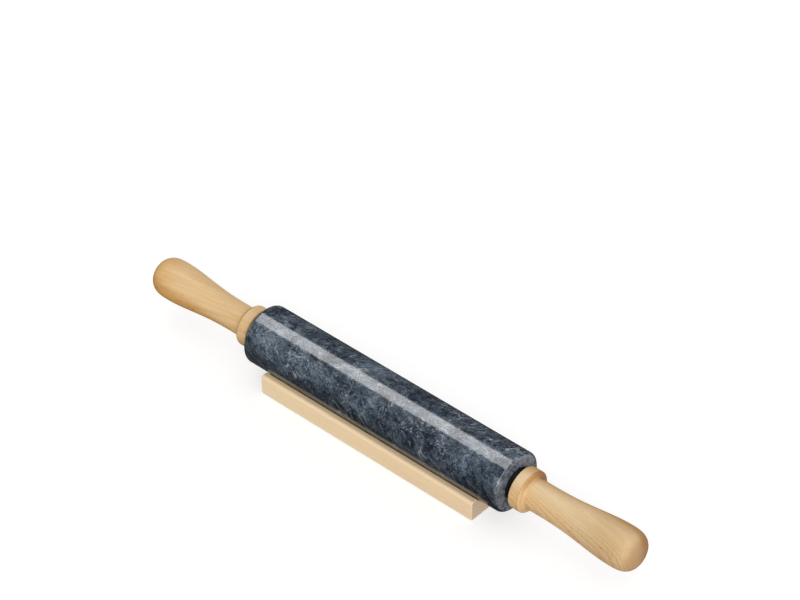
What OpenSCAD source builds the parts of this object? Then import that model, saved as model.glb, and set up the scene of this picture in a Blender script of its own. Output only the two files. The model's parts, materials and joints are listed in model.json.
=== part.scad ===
// Marble rolling pin with turned beech handles, lying in its beech cradle.
// The pin's axis runs along X, Z is up, and the origin is the middle of the cradle's underside.
// All sizes are in millimetres.

/* [Barrel] */
// Length of the marble barrel
barrel_length = 250; // [180:5:320]
// Outer diameter of the marble barrel
barrel_d = 48.4; // [40:0.2:56]
// Radius of the rounded rim at each end of the barrel
barrel_rim = 2.8; // [1:0.1:4]
// Diameter of the hole drilled through the marble
core_d = 14; // [12:0.5:18]

/* [Bushes] */
// Length of the part of each bush that sits in the marble
bush_length = 18; // [10:1:40]
// Diameter of the flange on each bush
bush_flange_d = 26; // [20:0.5:30]
// Thickness of that flange
bush_flange_t = 4.8; // [3:0.1:7]
// How far the flange stands out of the marble's end face
bush_proud = 3.2; // [2:0.1:4.4]

/* [Axle] */
// Diameter of the steel axle rod
rod_d = 8; // [6:0.5:9]
// How far the rod reaches into each handle, from the collar's back face
rod_reach = 32; // [26:1:44]
// Chamfer on the ends of the rod
rod_chamfer = 0.8; // [0.3:0.1:1.5]
// Diameter of the thrust washers
washer_d = 16; // [14:0.5:22]
// Thickness of the thrust washers
washer_t = 1.6; // [0.6:0.1:2]

/* [Threaded inserts] */
// Outer diameter of the insert's barrel
insert_d = 12; // [11:0.5:14]
// Length of the insert, with its flange
insert_length = 24; // [16:1:25]
// Diameter of the insert's flange
insert_flange_d = 15; // [14.5:0.5:20]
// Thickness of that flange
insert_flange_t = 1.5; // [1:0.1:3]

/* [Handles] */
// Length of a handle, from the collar's back face to the tip
handle_length = 107.3; // [90:0.5:130]
// Diameter of the collar beside the marble
collar_d = 33.4; // [29:0.2:38]
// Length of the collar's straight band
collar_band = 8.2; // [5:0.5:14]
// Radius of the collar's back edge
collar_back_round = 1.2; // [0.5:0.1:2]
// Length of the collar's rounded shoulder
shoulder_length = 2; // [1.5:0.1:6]
// Radius of the cove between the shoulder and the neck
cove_r = 2.4; // [0.6:0.1:3]
// Diameter where the neck leaves the collar
neck_root_d = 24.4; // [22:0.2:26]
// Diameter of the neck's slimmest place
neck_d = 24; // [21:0.2:26]
// Distance from the collar's back face to the slimmest place
neck_at = 19; // [18:0.5:35]
// Diameter of the grip's thickest place
bulb_d = 32.8; // [27:0.2:36]
// Distance from the thickest place to the tip
bulb_to_tip = 18; // [12:0.2:30]

/* [Cradle] */
// Length of the cradle
cradle_length = 210; // [120:5:240]
// Width of the cradle
cradle_width = 51; // [46:0.5:64]
// Height of the cradle's lips
cradle_height = 17.5; // [14:0.5:20]
// Wood left under the deepest line of the groove
cradle_floor = 7.8; // [5:0.2:10]
// Radius of the lips' outer edges
lip_outer_r = 2.5; // [1:0.1:3]
// Radius of the lips' inner edges
lip_inner_r = 2; // [1:0.1:2.5]
// Radius of the cradle's long bottom edges
cradle_foot_r = 1.5; // [0.5:0.1:3]
// Radius of the edges round the cradle's two ends
cradle_end_r = 1; // [0.4:0.1:2]
// Bevel on the groove's two mouths
mouth_bevel = 0.8; // [0.3:0.1:2]

/* [Clearances] */
// Gap between the barrel and the groove that it lies in
seat_gap = 0.3; // [0.2:0.05:1]
// Radial gap between the rod and the bushes that turn on it
running_gap = 0.05; // [0.02:0.01:0.1]
// Radial gap round the pieces that are pressed, glued or screwed in
fixing_gap = 0.05; // [0.02:0.01:0.1]
// Play of the barrel along the axle, at each end
end_play = 0.4; // [0.2:0.05:0.6]
// Radial gap between the rod and the washers
washer_gap = 0.2; // [0.1:0.05:0.5]
// Radial room round the rod where it runs in the wood of a handle
drill_gap = 0.3; // [0.1:0.05:1]
// Room in a handle past the end of the insert
insert_end_room = 1; // [0.5:0.1:2]
// Room in a handle past the end of the rod
rod_end_room = 4; // [2:0.5:8]

/* [Hidden] */
$fn = 96;

barrel_r = barrel_d / 2;
rod_r = rod_d / 2;
flange_seat = bush_flange_t - bush_proud;
collar_gap = bush_proud + end_play + washer_t;
groove_r = barrel_r + seat_gap;
axis_z = cradle_floor + groove_r;
drill_r = rod_r + drill_gap;
drill_tip = drill_r * tan(31);
neck_root_at = collar_band + shoulder_length + cove_r;
bulb_at = handle_length - bulb_to_tip;
// How far a cutting shape reaches past the face that it cuts
cut = 1;
// Steps of the outlines' arcs and curves
arc_steps = 12;
neck_steps = 6;
swell_steps = 40;
tip_steps = 28;
// Above 1 the swelling starts late and ends near the bulb
swell_lag = 1.35;
// The exponent of the tip's superellipse: 2 is an ellipse, and more is blunter
tip_fullness = 3;
marble_colour = [0.20, 0.23, 0.27];
beech_colour = [0.87, 0.73, 0.55];
pale_beech_colour = [0.91, 0.80, 0.65];
steel_colour = [0.72, 0.73, 0.75];
brass_colour = [0.78, 0.62, 0.30];
nylon_colour = [0.06, 0.06, 0.07];

// Puts what is drawn along Z onto the pin's axis, outwards from the barrel's right end face.
module at_right_end() {
    translate([barrel_length / 2, 0, axis_z]) rotate([0, 90, 0]) children();
}

// The same at the left end, mirrored.
module at_left_end() {
    mirror([1, 0, 0]) at_right_end() children();
}

// A round bar along Z with a bevel of c at both ends.
module bevelled_bar(r, length, c) {
    rotate_extrude()
        polygon([[0, 0], [r - c, 0], [r, c], [r, length - c], [r - c, length], [0, length]]);
}

// The marble roller: a polished bar with round rims, cored end to end and recessed for the bush flanges.
module marble_barrel() {
    color(marble_colour)
    translate([-barrel_length / 2, 0, axis_z]) rotate([0, 90, 0])
    difference() {
        rotate_extrude() union() {
            square([barrel_r - barrel_rim, barrel_length]);
            translate([0, barrel_rim]) square([barrel_r, barrel_length - 2 * barrel_rim]);
            for (z = [barrel_rim, barrel_length - barrel_rim])
                translate([barrel_r - barrel_rim, z]) circle(r = barrel_rim);
        }
        translate([0, 0, -cut]) cylinder(d = core_d, h = barrel_length + 2 * cut);
        for (z = [-cut, barrel_length - flange_seat])
            translate([0, 0, z]) cylinder(r = bush_flange_d / 2 + fixing_gap, h = flange_seat + cut);
    }
}

// A flanged nylon bush, pressed into the end of the marble's core, that turns on the rod.
module bush() {
    lead_in = 0.6;
    flange_round = 0.3;
    body_r = core_d / 2 - fixing_gap;
    flange_r = bush_flange_d / 2;
    color(nylon_colour)
    difference() {
        rotate_extrude() polygon([
            [0, -flange_seat - bush_length],
            [body_r - lead_in, -flange_seat - bush_length],
            [body_r, -flange_seat - bush_length + lead_in],
            [body_r, -flange_seat],
            [flange_r, -flange_seat],
            [flange_r, bush_proud - flange_round],
            [flange_r - flange_round, bush_proud],
            [0, bush_proud]]);
        translate([0, 0, -flange_seat - bush_length - cut])
            cylinder(r = rod_r + running_gap, h = bush_length + bush_flange_t + 2 * cut);
    }
}

module left_bush() {
    at_left_end() bush();
}

module right_bush() {
    at_right_end() bush();
}

// The steel rod runs through both bushes and ends inside the handles.
module axle_rod() {
    half_rod = barrel_length / 2 + collar_gap + rod_reach;
    color(steel_colour)
    translate([-half_rod, 0, axis_z]) rotate([0, 90, 0]) bevelled_bar(rod_r, 2 * half_rod, rod_chamfer);
}

// A thrust washer keeps the wooden collar off the turning bush.
module thrust_washer() {
    color(steel_colour)
    translate([0, 0, collar_gap - washer_t])
    difference() {
        bevelled_bar(washer_d / 2, washer_t, 0.15);
        translate([0, 0, -cut]) cylinder(r = rod_r + washer_gap, h = washer_t + 2 * cut);
    }
}

module left_washer() {
    at_left_end() thrust_washer();
}

module right_washer() {
    at_right_end() thrust_washer();
}

// A flanged brass insert, sunk flush into the collar's back face, holds the end of the rod.
module threaded_insert() {
    nose = 1;
    color(brass_colour)
    translate([0, 0, collar_gap])
    difference() {
        rotate_extrude() polygon([
            [0, 0],
            [insert_flange_d / 2, 0],
            [insert_flange_d / 2, insert_flange_t],
            [insert_d / 2, insert_flange_t],
            [insert_d / 2, insert_length - nose],
            [insert_d / 2 - nose, insert_length],
            [0, insert_length]]);
        translate([0, 0, -cut]) cylinder(r = rod_r + fixing_gap, h = insert_length + 2 * cut);
    }
}

module left_insert() {
    at_left_end() threaded_insert();
}

module right_insert() {
    at_right_end() threaded_insert();
}

// Points of the turned handle's outline, as [radius, distance from the collar's back face].
function rounded(r, at, rise, run, from, to) =
    [for (i = [0:arc_steps]) let (a = from + (to - from) * i / arc_steps)
        [r + rise * cos(a), at + run * sin(a)]];

function ease(u) = (1 - cos(180 * u)) / 2;

function neck_outline() =
    [for (i = [1:neck_steps]) let (u = i / neck_steps)
        [neck_root_d / 2 + (neck_d - neck_root_d) / 2 * ease(u), neck_root_at + (neck_at - neck_root_at) * u]];

function swell_outline() =
    [for (i = [1:swell_steps]) let (u = i / swell_steps)
        [neck_d / 2 + (bulb_d - neck_d) / 2 * ease(pow(u, swell_lag)), neck_at + (bulb_at - neck_at) * u]];

// The blunt dome is a superellipse: fuller than a ball at its sides, and round at the tip.
function tip_outline() =
    [for (i = [1:tip_steps - 1]) let (a = 90 * i / tip_steps)
        [bulb_d / 2 * pow(cos(a), 2 / tip_fullness), bulb_at + bulb_to_tip * pow(sin(a), 2 / tip_fullness)]];

function handle_outline() = concat(
    [[0, 0]],
    rounded(collar_d / 2 - collar_back_round, collar_back_round, collar_back_round, collar_back_round, -90, 0),
    rounded(neck_root_d / 2 + cove_r, collar_band, collar_d / 2 - neck_root_d / 2 - cove_r, shoulder_length, 0, 90),
    rounded(neck_root_d / 2 + cove_r, neck_root_at, cove_r, cove_r, 270, 180),
    neck_outline(),
    swell_outline(),
    tip_outline(),
    [[0, handle_length]]);

// A turned beech handle: collar, rounded shoulder, slim neck and a bulb with a blunt dome.
module handle() {
    color(beech_colour)
    translate([0, 0, collar_gap])
    difference() {
        rotate_extrude() polygon(handle_outline());
        translate([0, 0, -cut]) cylinder(r = insert_flange_d / 2 + fixing_gap, h = insert_flange_t + cut);
        cylinder(r = insert_d / 2 + fixing_gap, h = insert_length + insert_end_room);
        cylinder(r = drill_r, h = rod_reach + rod_end_room);
        translate([0, 0, rod_reach + rod_end_room]) cylinder(r1 = drill_r, r2 = 0, h = drill_tip);
    }
}

module left_handle() {
    at_left_end() handle();
}

module right_handle() {
    at_right_end() handle();
}

// Half of the cradle's section, for y below 0. The inner lip arc touches the lip's top and the groove.
lip_arc_y = -sqrt(pow(groove_r + lip_inner_r, 2) - pow(axis_z - cradle_height + lip_inner_r, 2));
lip_arc_z = cradle_height - lip_inner_r;
lip_arc_turn = atan2(axis_z - lip_arc_z, -lip_arc_y);

function arc(y, z, r, from, to) =
    [for (i = [0:arc_steps]) let (a = from + (to - from) * i / arc_steps) [y + r * cos(a), z + r * sin(a)]];

function half_section() = concat(
    arc(-cradle_width / 2 + cradle_foot_r, cradle_foot_r, cradle_foot_r, 270, 180),
    arc(-cradle_width / 2 + lip_outer_r, cradle_height - lip_outer_r, lip_outer_r, 180, 90),
    arc(lip_arc_y, lip_arc_z, lip_inner_r, 90, lip_arc_turn));

function mirrored(points) = [for (i = [len(points) - 1:-1:0]) [-points[i][0], points[i][1]]];

// A rectangle with round corners, centred on the origin.
module rounded_rectangle(x, y, r) {
    square([x - 2 * r, y], center = true);
    square([x, y - 2 * r], center = true);
    for (i = [-1, 1], j = [-1, 1])
        translate([i * (x / 2 - r), j * (y / 2 - r)]) circle(r = r);
}

// The bar before its groove is cut. Seen from each side, its corners are rounded.
module cradle_bar() {
    intersection() {
        rotate([90, 0, 90]) translate([0, 0, -cradle_length / 2]) linear_extrude(cradle_length)
            polygon(concat(half_section(), [[0, axis_z]], mirrored(half_section())));
        translate([0, 0, -cut]) linear_extrude(axis_z + 2 * cut)
            rounded_rectangle(cradle_length, cradle_width, cradle_end_r);
        translate([0, cradle_width / 2 + cut, cradle_height / 2]) rotate([90, 0, 0])
            linear_extrude(cradle_width + 2 * cut)
                rounded_rectangle(cradle_length, cradle_height, cradle_end_r);
    }
}

// The cradle: a beech bar with a round groove that fits the barrel, and rounded lips on both sides.
module cradle() {
    color(pale_beech_colour)
    difference() {
        cradle_bar();
        translate([-cradle_length / 2 - cut, 0, axis_z]) rotate([0, 90, 0])
            cylinder(r = groove_r, h = cradle_length + 2 * cut);
        for (side = [0, 1]) mirror([side, 0, 0])
            translate([cradle_length / 2 - mouth_bevel, 0, axis_z]) rotate([0, 90, 0])
                cylinder(r1 = groove_r, r2 = groove_r + mouth_bevel + cut, h = mouth_bevel + cut);
    }
}

marble_barrel();
left_bush();
right_bush();
axle_rod();
left_washer();
right_washer();
left_insert();
right_insert();
left_handle();
right_handle();
cradle();
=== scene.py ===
"""The looks of a marble rolling pin in its beech cradle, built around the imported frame.

The pin's axis runs along X, Z is up, and every length is in metres unless its name says otherwise.
"""

import json
import logging
import math
from collections.abc import Iterable, Sequence
from dataclasses import dataclass
from enum import Enum

import bmesh
import bpy
from mathutils import Matrix, Vector

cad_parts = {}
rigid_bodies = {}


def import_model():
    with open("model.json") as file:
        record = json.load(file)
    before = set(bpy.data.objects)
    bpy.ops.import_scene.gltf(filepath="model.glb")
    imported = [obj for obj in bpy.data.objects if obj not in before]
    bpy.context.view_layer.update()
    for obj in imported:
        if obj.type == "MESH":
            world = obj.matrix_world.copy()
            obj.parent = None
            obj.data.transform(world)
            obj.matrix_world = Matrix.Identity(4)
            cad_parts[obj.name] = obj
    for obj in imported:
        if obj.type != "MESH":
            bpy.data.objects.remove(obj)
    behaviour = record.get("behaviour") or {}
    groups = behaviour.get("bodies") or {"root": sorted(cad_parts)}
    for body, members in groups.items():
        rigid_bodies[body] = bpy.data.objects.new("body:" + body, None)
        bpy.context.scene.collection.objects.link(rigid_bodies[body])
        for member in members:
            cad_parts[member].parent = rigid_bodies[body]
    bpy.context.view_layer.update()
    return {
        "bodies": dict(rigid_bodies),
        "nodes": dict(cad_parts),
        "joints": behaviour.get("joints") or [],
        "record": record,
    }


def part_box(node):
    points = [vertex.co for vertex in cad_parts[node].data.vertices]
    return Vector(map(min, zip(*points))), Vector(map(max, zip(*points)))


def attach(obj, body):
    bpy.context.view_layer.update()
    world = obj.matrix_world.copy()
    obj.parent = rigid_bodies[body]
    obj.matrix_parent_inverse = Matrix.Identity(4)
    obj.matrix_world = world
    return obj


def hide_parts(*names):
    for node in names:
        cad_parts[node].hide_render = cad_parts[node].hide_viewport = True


MM = 0.001
LOG = logging.getLogger("rolling_pin")

Point = tuple[float, float]
Triple = tuple[float, float, float]
Colour = Triple
Socket = bpy.types.NodeSocket

EVEN: Triple = (1.0, 1.0, 1.0)
ORIGIN: Triple = (0.0, 0.0, 0.0)
WHITE = (1.0, 1.0, 1.0, 1.0)
CREASE_DEGREES = 40.0
MERGE_WITHIN = 0.001 * MM

# A Mix node has inputs for every kind of value, so they are told apart by their numbers.
MIX_SHARE = 0
MIX_NUMBERS = (2, 3)
MIX_COLOURS = (6, 7)
MIX_NUMBER_OUT = 0
MIX_COLOUR_OUT = 2


class End(Enum):
    """The two ends of the pin, as the sign of X."""

    LEFT = -1
    RIGHT = 1


@dataclass(frozen=True)
class PinAxis:
    """Where the pin lies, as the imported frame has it."""

    height: float
    half_barrel: float
    barrel_r: float
    tip: float
    lift: float

    @classmethod
    def of_frame(cls, frame: dict) -> "PinAxis":
        """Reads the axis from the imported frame.


        Returns:
            The axis with the sizes that the pieces share.
        """
        joints = {joint["name"]: joint for joint in frame["joints"]}
        height = joints["barrel_spin"]["pos_m"][2]
        low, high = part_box("marble_barrel")
        return cls(
            height=height,
            half_barrel=high.x,
            barrel_r=height - low.z,
            tip=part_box("right_handle")[1].x,
            lift=joints["pin_lift"]["range_m"][1],
        )


def arc(centre: Point, radii: Point, start: float, stop: float, steps: int) -> list[Point]:
    """Points of an elliptic arc in an outline.

    Args:
        centre: The arc's centre.
        radii: Half-widths along the first and the second direction.
        start: First angle in degrees, from the first direction.
        stop: Last angle in degrees.
        steps: Number of steps between the two.

    Returns:
        The points, ends included.
    """
    turns = [math.radians(start + (stop - start) * i / steps) for i in range(steps + 1)]
    return [(centre[0] + radii[0] * math.cos(t), centre[1] + radii[1] * math.sin(t)) for t in turns]


def turned(outline: Sequence[Point], axis_height: float, steps: int, closed: bool) -> bmesh.types.BMesh:
    """Spins an outline about the pin's axis.

    Args:
        outline: Points as (place along X, radius).
        axis_height: Height of the axis above the cradle's underside.
        steps: Number of faces round the axis.
        closed: Whether the outline's last point joins its first.

    Returns:
        The closed mesh, with its faces pointing outwards.
    """
    mesh = bmesh.new()
    points = [mesh.verts.new((x, 0.0, axis_height + r)) for x, r in outline]
    pairs = list(zip(points, points[1:]))
    if closed:
        pairs.append((points[-1], points[0]))
    edges = [mesh.edges.new(pair) for pair in pairs]
    bmesh.ops.spin(
        mesh,
        geom=points + edges,
        cent=(0.0, 0.0, axis_height),
        axis=(1.0, 0.0, 0.0),
        dvec=(0.0, 0.0, 0.0),
        angle=math.tau,
        steps=steps,
        use_merge=True,
        use_normal_flip=False,
        use_duplicate=False,
    )
    bmesh.ops.remove_doubles(mesh, verts=mesh.verts, dist=MERGE_WITHIN)
    bmesh.ops.recalc_face_normals(mesh, faces=mesh.faces)
    return mesh


def shown_piece(mesh: bmesh.types.BMesh, name: str, finish: bpy.types.Material) -> bpy.types.Object:
    """Makes an object of a finished mesh, smooth but for its crisp edges.

    Args:
        mesh: The mesh, which is freed.
        name: The piece's name.
        finish: Its material.

    Returns:
        The new object, at the origin.
    """
    data = bpy.data.meshes.new(name)
    mesh.to_mesh(data)
    mesh.free()
    data.polygons.foreach_set("use_smooth", [True] * len(data.polygons))
    data.set_sharp_from_angle(angle=math.radians(CREASE_DEGREES))
    data.materials.append(finish)
    piece = bpy.data.objects.new(name, data)
    bpy.context.scene.collection.objects.link(piece)
    shading = piece.modifiers.new("even_shading", "WEIGHTED_NORMAL")
    shading.keep_sharp = True
    return piece


@dataclass(frozen=True)
class Grain:
    """One layer of noise: how its coordinates are stretched, and the settings of the noise."""

    stretch: Triple = EVEN
    scale: float = 1.0
    detail: float = 2.0
    roughness: float = 0.5
    curl: float = 0.0


@dataclass
class Sheet:
    """The node sheet of a material or the world, with short calls for the nodes that the finishes share."""

    owner: bpy.types.Material | bpy.types.World

    @classmethod
    def new(cls, name: str) -> "Sheet":
        """Starts an empty material.

        Args:
            name: The material's name.

        Returns:
            Its node sheet.
        """
        material = bpy.data.materials.new(name)
        material.use_nodes = True
        material.node_tree.nodes.clear()
        return cls(material)

    def add(
        self, kind: str, inputs: dict[str | int, object] | None = None, **settings: object
    ) -> bpy.types.Node:
        """Adds one node.

        Args:
            kind: The node's type.
            inputs: A value or an output socket for each input, by its name or number.
            settings: Properties of the node itself.

        Returns:
            The node.
        """
        node = self.owner.node_tree.nodes.new(kind)
        for key, value in settings.items():
            setattr(node, key, value)
        for key, value in (inputs or {}).items():
            if isinstance(value, Socket):
                self.owner.node_tree.links.new(value, node.inputs[key])
            else:
                node.inputs[key].default_value = value
        return node

    def place(self) -> Socket:
        """Object coordinates."""
        return self.add("ShaderNodeTexCoord").outputs["Object"]

    def normal(self) -> Socket:
        """The surface's normal in object coordinates."""
        return self.add("ShaderNodeTexCoord").outputs["Normal"]

    def part(self, vector: Socket, axis: str) -> Socket:
        """The X, Y or Z of a vector."""
        return self.add("ShaderNodeSeparateXYZ", {"Vector": vector}).outputs[axis]

    def length(self, vector: Socket) -> Socket:
        """The length of a vector."""
        return self.add("ShaderNodeVectorMath", {0: vector}, operation="LENGTH").outputs["Value"]

    def end_on(self) -> Socket:
        """How far the surface faces along the pin's axis, from 0 to 1."""
        return self.number("ABSOLUTE", self.part(self.normal(), "X"))

    def turn(self, vector: Socket, degrees: Triple, at: Triple = ORIGIN) -> Socket:
        """Turns coordinates and then moves them.

        Args:
            vector: The coordinates.
            degrees: The turn about each axis.
            at: Where their origin goes.

        Returns:
            The turned coordinates.
        """
        turned_by = tuple(math.radians(t) for t in degrees)
        inputs = {"Vector": vector, "Rotation": turned_by, "Location": at}
        return self.add("ShaderNodeMapping", inputs).outputs["Vector"]

    def stretch(self, vector: Socket, scale: Triple) -> Socket:
        """Scales coordinates.

        Args:
            vector: The coordinates.
            scale: The factor along each axis.

        Returns:
            The scaled coordinates.
        """
        if scale == EVEN:
            return vector
        return self.add("ShaderNodeMapping", {"Vector": vector, "Scale": scale}).outputs["Vector"]

    def noise(self, vector: Socket, grain: Grain) -> bpy.types.Node:
        """A noise texture.

        Args:
            vector: The coordinates that it lies over.
            grain: Its settings.

        Returns:
            The texture's node.
        """
        inputs = {
            "Vector": self.stretch(vector, grain.stretch),
            "Scale": grain.scale,
            "Detail": grain.detail,
            "Roughness": grain.roughness,
            "Distortion": grain.curl,
        }
        return self.add("ShaderNodeTexNoise", inputs)

    def amount(self, vector: Socket, grain: Grain) -> Socket:
        """The value of a layer of noise, which wanders about 0.5."""
        return self.noise(vector, grain).outputs["Fac"]

    def warp(self, vector: Socket, grain: Grain, reach: Triple) -> Socket:
        """Moves coordinates about by a noise.

        Args:
            vector: The coordinates.
            grain: The noise that moves them.
            reach: The whole range of the movement along each axis, in metres.

        Returns:
            The moved coordinates.
        """
        shift = self.noise(vector, grain).outputs["Color"]
        centred = self.vector("SUBTRACT", shift, (0.5, 0.5, 0.5))
        return self.vector("ADD", vector, self.vector("MULTIPLY", centred, reach))

    def vector(self, operation: str, a: object, b: object) -> Socket:
        """Vector arithmetic on two inputs."""
        return self.add("ShaderNodeVectorMath", {0: a, 1: b}, operation=operation).outputs[0]

    def number(self, operation: str, a: object, b: object = 0.0, clamp: bool = False) -> Socket:
        """Arithmetic on one or two inputs."""
        node = self.add("ShaderNodeMath", {0: a, 1: b}, operation=operation, use_clamp=clamp)
        return node.outputs[0]

    def times(self, a: object, b: object) -> Socket:
        """The product of two numbers."""
        return self.number("MULTIPLY", a, b)

    def plus(self, a: object, b: object) -> Socket:
        """The sum of two numbers."""
        return self.number("ADD", a, b)

    def span(
        self, value: Socket, low: float, high: float, to_low: float = 0.0, to_high: float = 1.0
    ) -> Socket:
        """Maps low..high smoothly to to_low..to_high, held at both ends."""
        inputs = {"Value": value, "From Min": low, "From Max": high, "To Min": to_low, "To Max": to_high}
        return self.add("ShaderNodeMapRange", inputs, interpolation_type="SMOOTHSTEP").outputs["Result"]

    def ramp(self, value: Socket, stops: Iterable[tuple[float, Colour]]) -> Socket:
        """A colour ramp.

        Args:
            value: The place on the ramp, from 0 to 1.
            stops: Places on the ramp, each with its colour.

        Returns:
            The colour at that place.
        """
        node = self.add("ShaderNodeValToRGB", {"Fac": value})
        elements = node.color_ramp.elements
        elements.remove(elements[1])
        for number, (at, colour) in enumerate(stops):
            element = elements[0] if number == 0 else elements.new(at)
            element.position = at
            element.color = (*colour, 1.0)
        return node.outputs["Color"]

    def blend(self, share: object, a: object, b: object, mode: str = "MIX") -> Socket:
        """Blends colour b over colour a.

        Args:
            share: How much of b shows, from 0 to 1.
            a: The colour below.
            b: The colour above.
            mode: Blender's name for the way of blending.

        Returns:
            The blended colour.
        """
        node = self.add("ShaderNodeMix", data_type="RGBA", blend_type=mode)
        for number, value in zip((MIX_SHARE, *MIX_COLOURS), (share, a, b)):
            socket = node.inputs[number]
            if isinstance(value, Socket):
                self.owner.node_tree.links.new(value, socket)
            elif isinstance(value, tuple):
                socket.default_value = (*value, 1.0)
            else:
                socket.default_value = value
        return node.outputs[MIX_COLOUR_OUT]

    def between(self, share: object, a: object, b: object) -> Socket:
        """The number that lies this share of the way from a to b."""
        inputs = dict(zip((MIX_SHARE, *MIX_NUMBERS), (share, a, b)))
        return self.add("ShaderNodeMix", inputs, data_type="FLOAT").outputs[MIX_NUMBER_OUT]

    def ridge(self, vector: Socket, grain: Grain, width: float) -> Socket:
        """Thin wandering lines, where a noise crosses its middle value.

        Args:
            vector: The coordinates.
            grain: The noise.
            width: The share of the noise's range that a line takes.

        Returns:
            1 on the lines and 0 away from them.
        """
        off = self.number("ABSOLUTE", self.number("SUBTRACT", self.amount(vector, grain), 0.5))
        return self.span(off, 0.0, width, 1.0, 0.0)

    def bump(self, height: Socket, strength: float, distance: float) -> Socket:
        """A bumped normal."""
        inputs = {"Height": height, "Strength": strength, "Distance": distance}
        return self.add("ShaderNodeBump", inputs).outputs["Normal"]

    def surface(self, inputs: dict[str, object]) -> bpy.types.Material:
        """Ends the sheet in a Principled shader.

        Args:
            inputs: A value or a socket for each of the shader's inputs, by name.

        Returns:
            The finished material.
        """
        shader = self.add("ShaderNodeBsdfPrincipled", inputs)
        self.add("ShaderNodeOutputMaterial", {"Surface": shader.outputs["BSDF"]})
        return self.owner


@dataclass(frozen=True)
class Lines:
    """Thin lines in the stone, and where they show.

    Attributes:
        grain: The noise whose middle value draws the lines.
        width: The share of that noise's range that a line takes.
        places: The noise that picks the places.
        shown: Its values where lines begin to show and where they show in full.
    """

    grain: Grain
    width: float
    places: Grain
    shown: Point
    share: float
    colour: Colour

    def over(self, sheet: Sheet, colour: Socket, bed: Socket, flow: Socket) -> Socket:
        """Lays the lines over a colour.

        Args:
            sheet: The node sheet.
            colour: The colour below.
            bed: Coordinates for the places.
            flow: Coordinates along the stone's flow.

        Returns:
            The colour with the lines on it.
        """
        lines = sheet.ridge(flow, self.grain, self.width)
        there = sheet.span(sheet.amount(bed, self.places), *self.shown)
        return sheet.blend(sheet.times(sheet.times(lines, there), self.share), colour, self.colour)


VEIN: Colour = (0.50, 0.54, 0.58)
CREASES = Lines(
    grain=Grain((0.50, 1.0, 1.0), scale=150.0, detail=4.0, roughness=0.55),
    width=0.028,
    places=Grain(scale=48.0),
    shown=(0.34, 0.52),
    share=0.72,
    colour=(0.010, 0.014, 0.022),
)
THREADS = Lines(
    grain=Grain(scale=230.0, detail=4.0, roughness=0.55),
    width=0.026,
    places=Grain(scale=60.0),
    shown=(0.44, 0.60),
    share=0.34,
    colour=VEIN,
)
WISPS = Lines(
    grain=Grain((0.30, 1.0, 1.0), scale=84.0, detail=1.0, roughness=0.55),
    width=0.020,
    places=Grain(scale=60.0),
    shown=(0.55, 0.63),
    share=0.75,
    colour=VEIN,
)


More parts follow.
